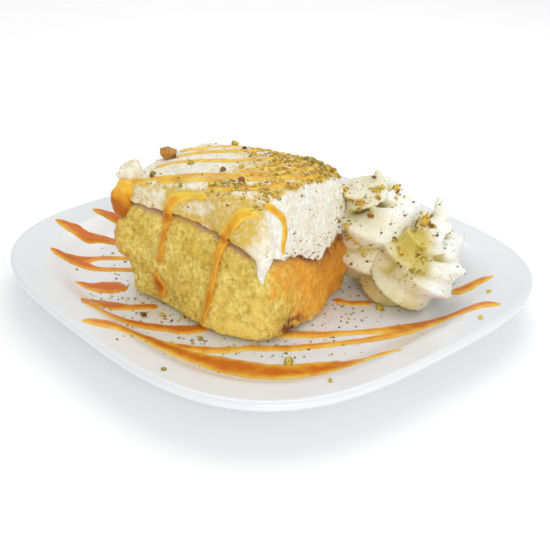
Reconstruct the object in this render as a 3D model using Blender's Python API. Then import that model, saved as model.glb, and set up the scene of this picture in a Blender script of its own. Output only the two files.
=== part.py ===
"""A slice of milk cake on its rounded square plate.

Yellow sponge under whipped cream, with a tongue of cream hanging over the front corner, caramel
drizzled over cake and plate, chopped pistachio, and three piped rosettes beside the slice.
Metres, +Z up. The origin is the centre of the plate's underside, the plate's sides run along X and Y.

Run it with blender --background --python part.py, or from Blender's text editor.
"""
import math
import random

import bmesh
import bpy
from mathutils import Matrix, Vector, noise

MM = 0.001

# Plate, in millimetres
PLATE_HALF = 105.0        # half of one side
PLATE_POWER = 3.2         # how square the outline is: 2 is a circle
WELL_HEIGHT = 9.0         # the well's upper face above the table
WALL_RISE = 6.5           # the bend between well and rim
WALL_START = 0.70         # as a share of the way from the centre to the edge
WALL_SPAN = 0.18
RIM_RISE = 4.5            # the gentle slope of the rim itself
RIM_START = 0.78
PLATE_THICK = 4.6
FOOT_OUTER = 0.64
FOOT_INNER = 0.60
UNDERSIDE_HEIGHT = 3.2
PLATE_SIDES = 64
PLATE_RINGS = (0.40, 0.69, 0.73, 0.77, 0.82, 0.88, 0.94, 0.99)

# Slice, in millimetres, in its own frame: a runs along the cut face, b away from it
SLICE_TURN = math.radians(15.5)
SLICE_X = 2.1
SLICE_Y = -20.4
HALF_A = 38.1
HALF_B = 32.2
# Heights over the well at the left, front, right and back corners
SPONGE_HEIGHTS = (44.0, 34.5, 28.5, 42.0)
CREAM_HEIGHTS = (50.0, 60.0, 54.0, 52.0)
CREAM_DOME = 6.0
SPONGE_POWER = 12         # how square the blocks' edges are
CREAM_POWER = 11
CREAM_PROUD = 0.5         # cream stands this far out of the sponge's cut face
CREAM_OVERHANG = 1.2      # and this much further over the browned face
FACE_FLARE = 9.0          # the cut face leans out this far at its foot
BROWN_LEAN = 8.0          # the browned face leans in this far at the top
END_BULGE = 4.5           # the left end swells this far above its foot
SIDE_BULGE = 4.5          # the browned face bulges this far at its foot
BACK_BULGE = 3.5          # and this far low at its back end
CRUMB_DEPTH = 1.7

# Drizzle: its sweeps run across the plate, corner to corner
SWEEP_TURN = math.radians(47.0)
SAUCE_THICK = 1.3

GAP = 0.3                 # between pieces that touch
SAUCE_GAP = 0.60          # under sauce that lies on the curved plate

rng = random.Random(7)


def material(name, colour, roughness, subsurface=0.0):
    """A Principled material with one colour, given as sRGB hex."""
    made = bpy.data.materials.new(name)
    made.use_nodes = True
    shader = made.node_tree.nodes["Principled BSDF"]
    channels = [int(colour[i:i + 2], 16) / 255 for i in (1, 3, 5)]
    linear = [c / 12.92 if c <= 0.04045 else ((c + 0.055) / 1.055) ** 2.4 for c in channels]
    shader.inputs["Base Color"].default_value = (*linear, 1.0)
    shader.inputs["Roughness"].default_value = roughness
    shader.inputs["Metallic"].default_value = 0.0
    shader.inputs["Subsurface Weight"].default_value = subsurface
    return made


def smooth(t):
    """An S-curve from 0 to 1."""
    t = min(1.0, max(0.0, t))
    return t * t * (3 - 2 * t)


def bump(x, centre, spread):
    """A bell curve, 1 at its centre."""
    return math.exp(-((x - centre) / spread) ** 2)


def add_object(name, points, faces, made_of, parent=None):
    """A mesh object from points in millimetres, with its faces turned outwards."""
    mesh = bpy.data.meshes.new(name)
    mesh.from_pydata([Vector(p) * MM for p in points], [], faces)
    shape = bmesh.new()
    shape.from_mesh(mesh)
    bmesh.ops.recalc_face_normals(shape, faces=shape.faces)
    shape.to_mesh(mesh)
    shape.free()
    mesh.materials.append(made_of)
    obj = bpy.data.objects.new(name, mesh)
    bpy.context.scene.collection.objects.link(obj)
    obj.parent = parent
    return obj


def finished_mesh(obj):
    """The object's mesh with its modifiers applied."""
    bpy.context.view_layer.update()
    depsgraph = bpy.context.evaluated_depsgraph_get()
    return bpy.data.meshes.new_from_object(obj.evaluated_get(depsgraph))


def apply_modifiers(obj):
    mesh = finished_mesh(obj)
    obj.modifiers.clear()
    obj.data = mesh


def fuse(obj, pieces):
    """Join pieces to obj by one Boolean union, and remove them."""
    group = bpy.data.collections.new("fused")
    bpy.context.scene.collection.children.link(group)
    for piece in pieces:
        group.objects.link(piece)
    union = obj.modifiers.new("fuse", "BOOLEAN")
    union.operation = "UNION"
    union.operand_type = "COLLECTION"
    union.collection = group
    union.solver = "EXACT"
    apply_modifiers(obj)
    for piece in pieces:
        bpy.data.objects.remove(piece)
    bpy.data.collections.remove(group)


def cut(obj, neighbours):
    """Cut obj back so that it keeps a small gap to each neighbour."""
    for neighbour in neighbours:
        mesh = finished_mesh(neighbour)
        for vertex in mesh.vertices:
            vertex.co += vertex.normal * GAP * MM
        cutter = bpy.data.objects.new("cutter", mesh)
        cutter.hide_render = True
        cutter.display_type = "WIRE"
        bpy.context.scene.collection.objects.link(cutter)
        cutter.parent = neighbour.parent
        cutter.matrix_local = neighbour.matrix_local
        trim = obj.modifiers.new("trim", "BOOLEAN")
        trim.operation = "DIFFERENCE"
        trim.object = cutter
        trim.solver = "EXACT"
        apply_modifiers(obj)
        bpy.data.objects.remove(cutter)


def keep_largest(obj):
    """Drop loose scraps that cutting leaves, so that one body stays."""
    shape = bmesh.new()
    shape.from_mesh(obj.data)
    left = set(shape.verts)
    bodies = []
    while left:
        body = {left.pop()}
        edge_of = list(body)
        while edge_of:
            near = {e.other_vert(v) for v in edge_of for e in v.link_edges} & left
            left -= near
            body |= near
            edge_of = list(near)
        bodies.append(body)
    bodies.sort(key=len)
    for body in bodies[:-1]:
        bmesh.ops.delete(shape, geom=list(body), context="VERTS")
    shape.to_mesh(obj.data)
    shape.free()


def loft(rings, closed_ends=True):
    """Points and faces of a skin over equal rings of points."""
    count = len(rings[0])
    points = [p for ring in rings for p in ring]
    faces = []
    for k in range(len(rings) - 1):
        for i in range(count):
            j = (i + 1) % count
            faces.append((k * count + i, k * count + j, (k + 1) * count + j, (k + 1) * count + i))
    if closed_ends:
        faces.append(tuple(range(count)))
        faces.append(tuple(range(len(points) - count, len(points))))
    return points, faces


def block(cells, place):
    """Points and faces of a closed block of cells, each point of the unit cube moved by place."""
    index = {}
    points = []
    faces = []

    def corner(i, j, k):
        if (i, j, k) not in index:
            index[i, j, k] = len(points)
            points.append(place(2 * i / cells[0] - 1, 2 * j / cells[1] - 1, 2 * k / cells[2] - 1))
        return index[i, j, k]

    for axis in range(3):
        u, v = (axis + 1) % 3, (axis + 2) % 3
        for level in (0, cells[axis]):
            for i in range(cells[u]):
                for j in range(cells[v]):
                    face = []
                    for du, dv in ((0, 0), (1, 0), (1, 1), (0, 1)):
                        at = [0, 0, 0]
                        at[axis], at[u], at[v] = level, i + du, j + dv
                        face.append(corner(*at))
                    faces.append(tuple(face))
    return points, faces


def rounded(p, q, r, power):
    """Pull a point of the unit cube in where edges meet, which rounds them."""
    shrink = (abs(p) ** power + abs(q) ** power + abs(r) ** power) ** (-1 / power)
    return p * shrink, q * shrink, r * shrink


def curve_through(stops, steps):
    """Catmull-Rom curve through stops, each a tuple of numbers."""
    padded = [stops[0], *stops, stops[-1]]
    found = []
    for k in range(1, len(padded) - 2):
        p0, p1, p2, p3 = padded[k - 1:k + 3]
        for step in range(steps):
            t = step / steps
            found.append(tuple(
                0.5 * (2 * b + (c - a) * t + (2 * a - 5 * b + 4 * c - d) * t * t
                       + (3 * b - a - 3 * c + d) * t ** 3)
                for a, b, c, d in zip(p0, p1, p2, p3)))
    found.append(tuple(stops[-1]))
    return found


def ribbon(stops, steps, face, sink, thick):
    """A domed ribbon of sauce. stops are (s, t, width) on a face; face gives a point off it."""
    path = curve_through(stops, steps)
    rings = []
    for k, (s, t, width) in enumerate(path):
        before, after = path[max(0, k - 1)], path[min(len(path) - 1, k + 1)]
        ds, dt = after[0] - before[0], after[1] - before[1]
        length = math.hypot(ds, dt)
        side = (-dt / length, ds / length)
        half = max(width, 1.0) / 2
        crown = thick * min(1.0, 0.45 + width / 9)
        outline = ((-1, sink), (0, sink), (1, sink), (0.7, crown * 0.75), (0, crown), (-0.7, crown * 0.75))
        rings.append([face(s + side[0] * half * x, t + side[1] * half * x, out) for x, out in outline])
    return loft(rings)


def bead(centre, radii):
    """A rounded drop, its radii given along a, b and z."""
    shape = bmesh.new()
    bmesh.ops.create_icosphere(shape, subdivisions=2, radius=1.0)
    points = [Vector(centre) + Vector(c * r for c, r in zip(v.co, radii)) for v in shape.verts]
    faces = [[v.index for v in f.verts] for f in shape.faces]
    shape.free()
    return points, faces


def chip(centre, size):
    """A chopped nut: a jittered low ball, a little longer than it is wide."""
    shape = bmesh.new()
    bmesh.ops.create_icosphere(shape, subdivisions=1, radius=1.0)
    turn = Matrix.Rotation(rng.uniform(0, math.tau), 3, "Z")
    lean = Matrix.Rotation(rng.uniform(-0.6, 0.6), 3, "X")
    points = []
    for vertex in shape.verts:
        p = vertex.co * rng.uniform(0.8, 1.15)
        p = turn @ lean @ Vector((p.x * 0.5, p.y * 0.38, p.z * 0.34))
        points.append(Vector(centre) + p * size)
    faces = [[v.index for v in f.verts] for f in shape.faces]
    shape.free()
    return points, faces


# Plate

def outward_share(x, y):
    """How far out a point of the plate is: 0 at the centre, 1 at the edge."""
    power = PLATE_POWER
    return (abs(x) ** power + abs(y) ** power) ** (1 / power) / PLATE_HALF


def profile_rise(share):
    """The plate's section as it was thrown: flat well, S-shaped wall, sloping rim."""
    wall = WALL_RISE * smooth((share - WALL_START) / WALL_SPAN)
    rim = RIM_RISE * min(1.0, max(0.0, (share - RIM_START) / (1 - RIM_START)))
    return wall + rim


def plate_rise(share):
    """The same section as the mesh has it, straight from ring to ring."""
    for inner, outer in zip(PLATE_RINGS, PLATE_RINGS[1:]):
        if share <= outer:
            part = max(0.0, share - inner) / (outer - inner)
            return profile_rise(inner) * (1 - part) + profile_rise(outer) * part
    return profile_rise(1.0)


def on_plate(x, y, out):
    """A point over the plate's upper face."""
    return (x, y, WELL_HEIGHT + plate_rise(outward_share(x, y)) + out)


def make_plate(made_of):
    top = [(s, WELL_HEIGHT + plate_rise(s)) for s in PLATE_RINGS]
    rim = WELL_HEIGHT + plate_rise(1.0)
    lip = [(1.0, rim - 1.3), (0.985, rim - PLATE_THICK)]
    below = [(s, WELL_HEIGHT + plate_rise(s) - PLATE_THICK) for s in (0.88, 0.80, 0.72)]
    foot = [(FOOT_OUTER + 0.03, UNDERSIDE_HEIGHT + 0.6), (FOOT_OUTER, 0.0), (FOOT_INNER, 0.0),
            (FOOT_INNER - 0.02, UNDERSIDE_HEIGHT)]
    rings = []
    for share, height in top + lip + below + foot:
        ring = []
        for i in range(PLATE_SIDES):
            angle = math.tau * i / PLATE_SIDES
            c, s = math.cos(angle), math.sin(angle)
            radius = share * PLATE_HALF / (abs(c) ** PLATE_POWER + abs(s) ** PLATE_POWER) ** (1 / PLATE_POWER)
            ring.append((radius * c, radius * s, height))
        rings.append(ring)
    points, faces = loft(rings, closed_ends=False)
    last = len(points) - PLATE_SIDES
    points += [(0, 0, WELL_HEIGHT), (0, 0, UNDERSIDE_HEIGHT)]
    for i in range(PLATE_SIDES):
        j = (i + 1) % PLATE_SIDES
        faces.append((i, j, len(points) - 2))
        faces.append((last + i, last + j, len(points) - 1))
    return add_object("plate", points, faces, made_of)


# Slice

def corner_blend(a, b, heights):
    """Height between the slice's four corners: left, front, right, back."""
    left, front, right, back = heights
    s = (a / HALF_A + 1) / 2
    t = (b / HALF_B + 1) / 2
    return (1 - s) * (1 - t) * left + s * (1 - t) * front + s * t * right + (1 - s) * t * back


def end_shift(p, z):
    """How far a point is moved along the slice: the right face leans in, the left end swells."""
    if p > 0:
        return -BROWN_LEAN * p * max(0.0, (z - 24) / 34)
    return END_BULGE * p * smooth((z - 6) / 16)


def sponge_top(a, b):
    """The sponge rises to a hump along the middle of its cut face, and sags where the cream hangs at the right."""
    hump = 4.2 * bump(a, -1, 22) * smooth(-b / HALF_B)
    sag = 6.5 * bump(b, 2, 11) * smooth((a - 20) / 16)
    return corner_blend(a, b, SPONGE_HEIGHTS) + hump - sag


def cream_top(a, b):
    """The cream is domed, and ripples a little."""
    p, q = a / HALF_A, b / HALF_B
    dome = CREAM_DOME * (1 - (p * p + q * q) / 2)
    ripple = 0.9 * noise.noise(Vector((a, b, 3.0)) / 13)
    return corner_blend(a, b, CREAM_HEIGHTS) + dome + ripple


def on_cream(a, b, out):
    return (a, b, cream_top(a, b) + out)


def flare(a, z):
    """How far the cut face leans out at height z."""
    return FACE_FLARE * bump(a, 14, 26) * max(0.0, 1 - z / sponge_top(a, -HALF_B))


def on_cut_face(a, z, out):
    """A point off the cut face."""
    return (a, -HALF_B - flare(a, z) - out, z)


def on_left_edge(s, z, out):
    """A point off the upright edge at the slice's left corner."""
    inset = 2.0
    diagonal = math.sqrt(0.5)
    corner = -HALF_A + inset + end_shift(-1, z)
    return (corner + (s - out) * diagonal, -HALF_B + inset - (s + out) * diagonal, z)


def sponge_point(p, q, r):
    p, q, r = rounded(p, q, r, SPONGE_POWER)
    a, b = HALF_A * p, HALF_B * q
    z = (r + 1) / 2 * sponge_top(a, b)
    low = max(0.0, 1 - z / 26)
    b -= flare(a, z) * max(0.0, -q)
    side = SIDE_BULGE * bump(b, -5, 16) * low + BACK_BULGE * bump(b, 29, 6) * bump(z, 16, 6)
    return (a + side * max(0.0, p) + end_shift(p, z), b, z)


def make_sponge(made_of, place):
    points, faces = block((16, 13, 9), sponge_point)
    sponge = add_object("sponge", points, faces, made_of, place)
    depth = []
    for vertex in sponge.data.vertices:
        at = vertex.co / MM
        lumps = 0.5 + 0.5 * noise.noise(at / 6.5)
        pits = 0.5 + 0.5 * noise.noise(at / 2.9 + Vector((40, 0, 0)))
        a_side = 1 - smooth((abs(vertex.normal.z) - 0.35) / 0.4)
        depth.append(a_side * CRUMB_DEPTH * (0.6 * lumps + 0.4 * pits))
    for vertex, deep in zip(sponge.data.vertices, depth):
        vertex.co -= vertex.normal * deep * MM
    return sponge


def cream_point(p, q, r):
    p, q, r = rounded(p, q, r, CREAM_POWER)
    a = (HALF_A + CREAM_PROUD) * p + CREAM_OVERHANG * max(0.0, p)
    b = (HALF_B + CREAM_PROUD) * q
    low, high = sponge_top(a, b) + GAP, cream_top(a, b)
    z = low + (high - low) * (r + 1) / 2
    return (a + end_shift(p, z), b, z)


def make_tongue(made_of, place):
    """The tongue of cream that hangs over the front corner, to a point on the cut face."""
    tip, root = 27.0, 57.0
    rings = []
    for z in (tip, 29.0, 32.0, 36.0, 39.5, 43.0, 47.0, 52.0, root):
        left = -4.2 - 1.3 * smooth((z - tip) / 3) - 20.5 * smooth((z - 35) / 11) ** 1.5
        right = -3.0 + 7.5 * smooth((z - tip) / 17)
        bulk = 0.7 + 4.2 * math.sin(math.pi * min(0.62, (z - tip) / 40 + 0.05)) * (1 - 0.55 * smooth((z - 44) / 12))
        inner = GAP + 0.2 if z < 41 else -2.5
        ring = []
        for f in (0.0, 0.12, 0.3, 0.5, 0.7, 0.88, 1.0, 0.75, 0.4):
            t = left + (right - left) * f
            is_inner = len(ring) > 6
            out = inner if is_inner else GAP + 0.6 + bulk * math.sin(math.pi * f) ** 0.8
            near = smooth((t + 5) / 10)
            corner = HALF_A + end_shift(1, z)
            lean = flare(corner + min(t, 0), z)
            on_cut = Vector((corner + min(t, 2.0), -HALF_B - lean - out, z))
            on_side = Vector((corner + out, -HALF_B + max(t, -2.0), z))
            ring.append(on_cut.lerp(on_side, near))
        rings.append(ring)
    points, faces = loft(rings)
    return add_object("tongue", points, faces, made_of, place)


# Drizzle over the slice's top: each line as stops of a, b and width
TOP_LINES = (
    ((-37, 4, 3.5), (-30, 15, 3.5), (-20, 24, 3.2), (-6, 27, 3.0)),
    ((-31, -12, 2.5), (-14, 0, 3.0), (3, 10, 3.0), (17, 24, 2.5)),
    ((-38, -27, 6.0), (-22, -23, 4.0), (-2, -16, 3.2), (14, -6, 3.0), (24, 10, 2.5)),
    ((-16, -26, 2.5), (4, -19, 2.6), (24, -5, 2.5)),
    ((-10, -29, 3.5), (5, -27, 3.2), (16, -22, 3.0), (27, -10, 2.5)),
)
# Runs of caramel down the slice: the face, then stops of place across it, height and width
RUNS_ON_CREAM = (
    (on_left_edge, ((0, 51, 7.0), (0, 46, 8.0))),
    (on_cut_face, ((-12, 54, 4.0), (-15, 46.5, 4.5))),
)
RUNS_ON_SPONGE = (
    (on_cut_face, ((-16, 43, 4.2), (-17.5, 32, 3.2), (-19, 15, 3.5), (-18, 7, 2.0))),
    (on_cut_face, ((13, 39, 3.8), (12, 25, 3.0), (10.5, 9, 2.0))),
)
# At the left corner: a blunt lump of cream, the drop of caramel below it, and the soaked bulge in the sponge
CORNER_LUMP = ((-40.0, -25.0, 51.5), (5.5, 5.3, 7.5))
CORNER_DROP = ((-41.4, -31.0, 43.5), (5.5, 5.0, 7.5))
CORNER_BULGE = ((-40.8, -30.4, 26.0), (5.5, 5.0, 9.5))


def make_slice(cream, sponge_stuff, place):
    sponge = make_sponge(sponge_stuff, place)
    runs = [add_object("run", *ribbon(stops, 2, face, -2.6, 1.2), sponge_stuff, place)
            for face, stops in RUNS_ON_SPONGE]
    fuse(sponge, runs + [add_object("bulge", *bead(*CORNER_BULGE), sponge_stuff, place)])

    topping = add_object("cream_topping", *block((16, 13, 4), cream_point), cream, place)
    drop = add_object("drop", *bead(*CORNER_DROP), cream, place)
    cut(drop, [sponge])
    lump = add_object("lump", *bead(*CORNER_LUMP), cream, place)
    cut(lump, [sponge])
    extras = [make_tongue(cream, place), drop, lump]
    for stops in TOP_LINES:
        extras.append(add_object("line", *ribbon(stops, 2, on_cream, -1.4, 0.9), cream, place))
    for face, stops in RUNS_ON_CREAM:
        extras.append(add_object("run", *ribbon(stops, 1, face, -2.6, 1.4), cream, place))
    for a, b, size in nuts_on_top():
        extras.append(add_object("chip", *chip(on_cream(a, b, size * 0.16), size), cream, place))
    fuse(topping, extras)
    keep_largest(topping)
    return sponge, topping


def nuts_on_top():
    """One large piece at the back edge, then a scatter that thickens to the right."""
    spots = [(-39.0, -2.0, 8.5), (-24.0, 29.0, 4.5), (23.0, 26.0, 5.0), (15.0, 27.0, 4.0), (2.0, -25.0, 4.0)]
    while len(spots) < 24:
        a, b = rng.uniform(-34, 26), rng.uniform(-26, 27)
        if rng.random() < 0.25 + 0.6 * smooth((a + b + 20) / 50):
            if all(math.hypot(a - x, b - y) > 5.5 for x, y, _ in spots):
                spots.append((a, b, rng.uniform(2.2, 3.6)))
    return spots


# Piped rosettes

def swirl(turns, tube, reach, height, hold, twist, start, flutes, flute_depth, seat):
    """A fluted rope of cream coiled on itself, narrowing upwards to a peak; foot at height 0.

    It has settled until the rope's middle lies at seat.

    The coil keeps its full reach for the share hold of its length. Between the sharp crests of the
    flutes lie rounded hollows, which the twist carries slantwise round the rope.
    """
    stations = int(turns * 50)
    section = flutes * 12
    rings = []
    for k in range(stations + 1):
        t = k / stations
        angle = start + math.tau * turns * t
        closing = max(0.0, (t - hold) / (1 - hold))
        out = reach * (1 - smooth(closing))
        rise = seat + (height - seat) * (0.62 * t + 0.38 * t ** 3)
        thick = tube * (1 - 0.88 * smooth(closing) ** 1.8)
        centre = Vector((out * math.cos(angle), out * math.sin(angle), rise))
        across = Vector((math.cos(angle), math.sin(angle), 0))
        lift = smooth((t - 0.6) / 0.4)
        along = Vector((-math.sin(angle), math.cos(angle), 0)) * (1 - lift) + Vector((0, 0, 1)) * lift
        along.normalize()
        up = across.cross(along)
        ring = []
        for i in range(section):
            turn = math.tau * i / section
            crest = 1 - abs(math.sin(flutes * (turn + twist * t) / 2)) ** 0.9
            radius = thick * (1 - flute_depth + 2 * flute_depth * crest)
            ring.append(centre + (across * math.cos(turn) + up * math.sin(turn)) * radius)
        rings.append(ring)
    return loft(rings)


def make_rosette(name, spot, lean, size, made_of, faces_left):
    """Pipe a rosette, melt its coils into one body, and stand it on the well."""
    points, faces = swirl(*size)
    rope = add_object(name, points, faces, made_of)
    reach, height = size[2:4]
    core = add_object("core", *cone(reach * 1.05, height * 0.62, 16), made_of)
    shape = bmesh.new()
    shape.from_mesh(rope.data)
    shape.from_mesh(core.data)
    for vertex in shape.verts:
        share = max(0.0, vertex.co.z / (height * MM))
        vertex.co.x += lean[0] * MM * share
        vertex.co.y += lean[1] * MM * share
    shape.to_mesh(rope.data)
    shape.free()
    bpy.data.objects.remove(core)
    rope.location = (spot[0] * MM, spot[1] * MM, (WELL_HEIGHT + GAP) * MM)
    melt = rope.modifiers.new("melt", "REMESH")
    melt.mode = "VOXEL"
    melt.voxel_size = 1.1 * MM
    soften = rope.modifiers.new("soften", "SMOOTH")
    soften.iterations = 2
    apply_modifiers(rope)
    thin = rope.modifiers.new("thin", "DECIMATE")
    thin.ratio = faces_left / sum(len(f.vertices) - 2 for f in rope.data.polygons)
    apply_modifiers(rope)
    flatten_foot(rope)
    return rope


def cone(radius, height, sides):
    ring = [(radius * math.cos(math.tau * i / sides), radius * math.sin(math.tau * i / sides), 0.0)
            for i in range(sides)]
    top = [(p[0] * 0.25, p[1] * 0.25, height) for p in ring]
    return loft([ring, top])


def flatten_foot(obj):
    """Cut the foot flat where the rosette stands on the plate."""
    shape = bmesh.new()
    shape.from_mesh(obj.data)
    everything = shape.verts[:] + shape.edges[:] + shape.faces[:]
    sliced = bmesh.ops.bisect_plane(shape, geom=everything, plane_co=(0, 0, 0), plane_no=(0, 0, -1),
                                    clear_outer=True, dist=1e-6)
    edges = [e for e in sliced["geom_cut"] if isinstance(e, bmesh.types.BMEdge)]
    bmesh.ops.contextual_create(shape, geom=edges)
    bmesh.ops.triangulate(shape, faces=[f for f in shape.faces if len(f.verts) > 3])
    bmesh.ops.recalc_face_normals(shape, faces=shape.faces)
    shape.to_mesh(obj.data)
    shape.free()


def sweep_spot(along, across):
    """Plate coordinates of a place given along and across the sweep of the drizzle."""
    c, s = math.cos(SWEEP_TURN), math.sin(SWEEP_TURN)
    return (along * c - across * s, along * s + across * c)


def on_plate_sweep(along, across, out):
    return on_plate(*sweep_spot(along, across), out)


# Each rosette: place and lean of its peak along and across the sweep; turns, rope radius, coil
# reach, height, hold, twist, start angle, flutes, their depth and the seat; triangles
ROSETTES = {
    "rosette_front": ((62.8, -15), (3, 0), (2.3, 11.0, 10.5, 42.5, 0.5, 17.0, 1.6, 5, 0.2, 5.8), 1350),
    "rosette_tall": ((47.5, 0), (-3, -8), (3.0, 10.5, 9.0, 57, 0.76, 13.0, 0.4, 4, 0.16, 8.4), 1250),
    "rosette_back": ((76.5, 13), (0, 0), (1.9, 8.5, 6.2, 38, 0.45, 9.0, 3.6, 4, 0.18, 6.0), 700),
}

# Sauce on the plate: named strokes, each with stops along and across the sweep, and widths
STROKES = {
    "sauce_far": [((-92, 46, 1.5), (-85, 44, 6), (-70, 43, 6.5), (-40, 47, 5), (-5, 49, 4), (28, 50, 1.5))],
    "sauce_left_high": [((-107, 30, 1.5), (-99, 26, 8), (-91, 23.5, 7.5), (-82, 27, 5.5), (-60, 28, 5),
                         (-40, 27, 4))],
    "sauce_left_mid": [((-103, 2, 1.5), (-97, 0.5, 7), (-89, 4.5, 6), (-80, 9.5, 4), (-52, 11, 4)),
                       ((-97, 0, 5), (-88, 0.5, 6.5), (-79, -2, 4), (-58, -1, 4))],
    "sauce_left_low": [((-87, -20, 1.5), (-79, -20, 9), (-70, -19.5, 11), (-63.5, -20.5, 5))],
    "sauce_front_left": [((-78, -46, 4), (-72, -37, 8), (-60, -37, 5), (-48, -35, 4.5)),
                         ((-78, -46, 4), (-62, -50, 5.5), (-45, -53, 5.5), (-33, -54, 7), (-24, -50, 6))],
    "sauce_pool": [((-74, -67, 1.5), (-66, -66, 8), (-49, -66, 10), (-32, -74, 9),
                    (-14, -80.8, 13), (5, -84, 13.5), (24, -80, 13), (38, -76.8, 8), (53, -76, 1.5)),
                   ((-47, -65, 4), (-33, -68, 5), (-20, -69, 5), (-6, -66, 4))],
    "sauce_front_right": [((99, -37, 2), (90, -36, 8), (76, -39, 8.5), (62, -44, 8), (42, -49, 4.2),
                           (22, -53, 5), (10, -54, 6)),
                          ((64, -45, 7), (48, -53, 4.2), (28, -60, 4), (8, -65, 4.5), (-4.8, -65.8, 4))],
    "sauce_right": [((102, -7, 1.5), (95, -7, 7), (88, -9, 7.5), (83.5, -12, 5))],
    "sauce_corner": [((29, -22, 4), (36, -24.5, 4.5), (46, -23.5, 4))],
}

# Nuts fallen on the plate: along, across and size
PLATE_NUTS = ((49, -29, 4.5), (-53, -43.5, 3.5), (-45, -43, 3.0), (-27, -61, 3.0),
              (24, -101, 2.5), (-37, -99, 2.5), (88, -50, 3.0), (97, -22, 2.5))


def main():
    for old in list(bpy.data.objects):
        bpy.data.objects.remove(old)

    porcelain = material("porcelain", "#F2F3F4", 0.12)
    crumb = material("milk_sponge", "#DDBB62", 0.85)
    cream = material("whipped_cream", "#F6F3E8", 0.55)
    caramel = material("caramel", "#C9752A", 0.12)

    slice_place = bpy.data.objects.new("slice_place", None)
    bpy.context.scene.collection.objects.link(slice_place)
    slice_place.location = (SLICE_X * MM, SLICE_Y * MM, (WELL_HEIGHT + GAP) * MM)
    slice_place.rotation_euler = (0, 0, SLICE_TURN)

    plate = make_plate(porcelain)
    sponge, topping = make_slice(cream, crumb, slice_place)

    piped = []
    for name, (spot, lean, size, faces_left) in ROSETTES.items():
        rosette = make_rosette(name, sweep_spot(*spot), sweep_spot(*lean), size, cream, faces_left)
        cut(rosette, [sponge, topping] + piped)
        keep_largest(rosette)
        piped.append(rosette)

    for name, strokes in STROKES.items():
        first, *rest = [add_object(name, *ribbon(stops, 2, on_plate_sweep, SAUCE_GAP, SAUCE_THICK + SAUCE_GAP),
                                   caramel) for stops in strokes]
        if rest:
            fuse(first, rest)
        cut(first, [sponge] + piped)
        keep_largest(first)
        first.name = name

    nuts = [add_object("chip", *chip(on_plate_sweep(along, across, size * 0.12), size), porcelain)
            for along, across, size in PLATE_NUTS]
    fuse(plate, nuts)


main()
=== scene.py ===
"""A slice of milk cake on its plate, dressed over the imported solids.

The order is the one in which it was plated: plate, sponge, whipped cream, caramel over the slice,
piped rosettes, caramel on the plate, chopped nuts, and then the table and the studio.
"""

import math
import random
from functools import partial
from itertools import product

import bmesh
import bpy
import numpy as np
from mathutils import Matrix, Vector, noise
from mathutils.bvhtree import BVHTree


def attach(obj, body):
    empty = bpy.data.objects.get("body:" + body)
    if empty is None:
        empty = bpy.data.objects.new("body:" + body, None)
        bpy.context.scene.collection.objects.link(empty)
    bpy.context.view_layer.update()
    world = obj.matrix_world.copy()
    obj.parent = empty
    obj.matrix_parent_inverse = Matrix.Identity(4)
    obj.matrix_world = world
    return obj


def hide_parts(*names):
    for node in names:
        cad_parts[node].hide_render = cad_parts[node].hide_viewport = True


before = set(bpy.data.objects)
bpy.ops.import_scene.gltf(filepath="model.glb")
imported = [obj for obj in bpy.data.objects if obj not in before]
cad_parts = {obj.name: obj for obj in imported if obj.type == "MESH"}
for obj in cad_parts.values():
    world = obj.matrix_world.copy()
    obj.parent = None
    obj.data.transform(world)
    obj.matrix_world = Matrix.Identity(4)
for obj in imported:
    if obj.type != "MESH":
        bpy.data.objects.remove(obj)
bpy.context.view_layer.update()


# ---- Plate ----
# Hard porcelain, cast in a rounded square: a flat well, an S-shaped wall and a sloping rim on a foot ring.
# A clear feldspar glaze covers it, so it is smooth and cool white, with broad soft reflections and
# hardly any grain. Close to the slice a thin film of milk has run out over it.
MM = 0.001
PLATE_HALF = 105.0
PLATE_POWER = 3.2
WELL_HEIGHT = 9.0
PLATE_THICK = 4.6
WALL_RISE, RIM_RISE = 6.5, 4.5
LIP = 0.985
MILK_LENGTH, MILK_WIDTH = 54, 46


def smooth(t):
    """An S-curve from 0 to 1, for numbers and arrays."""
    t = np.clip(t, 0.0, 1.0)
    return t * t * (3 - 2 * t)


def bump(x, centre, spread):
    return np.exp(-((x - centre) / spread) ** 2)


def linear(code):
    """A colour given as sRGB hex, in linear light."""
    channels = [int(code[i:i + 2], 16) / 255 for i in (1, 3, 5)]
    return (*[c / 12.92 if c <= 0.04045 else ((c + 0.055) / 1.055) ** 2.4 for c in channels], 1.0)


def plug(node, inputs):
    """Set a node's inputs to values or hex colours, or link them to sockets or other nodes' outputs."""
    for key, value in inputs.items():
        if isinstance(value, bpy.types.Node):
            value = next(socket for socket in value.outputs if socket.enabled)
        if isinstance(value, bpy.types.NodeSocket):
            node.id_data.links.new(value, node.inputs[key])
        else:
            is_colour = isinstance(value, str) and value.startswith("#")
            node.inputs[key].default_value = linear(value) if is_colour else value


def add_node(tree, kind, inputs=None, stops=(), **settings):
    """A node with its settings, inputs and ramp stops. A shader node's kind needs no prefix."""
    made = tree.nodes.new(kind if "Node" in kind else "ShaderNode" + kind)
    for name, value in settings.items():
        setattr(made, name, value)
    plug(made, inputs or {})
    if stops:
        ramp = made.color_ramp.elements
        ramp.remove(ramp[1])
        ramp[0].color = linear(stops[0][1])
        for position, code in stops[1:]:
            ramp.new(position).color = linear(code)
    return made


def new_finish(name):
    """A material, its own add_node, its shader, and Object coordinates in millimetres."""
    made = bpy.data.materials.new(name)
    made.use_nodes = True
    add = partial(add_node, made.node_tree)
    place = add("TexCoord").outputs["Object"]
    at = add("Mapping", {"Vector": place, "Scale": (1000, 1000, 1000)})
    return made, add, made.node_tree.nodes["Principled BSDF"], at


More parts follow.
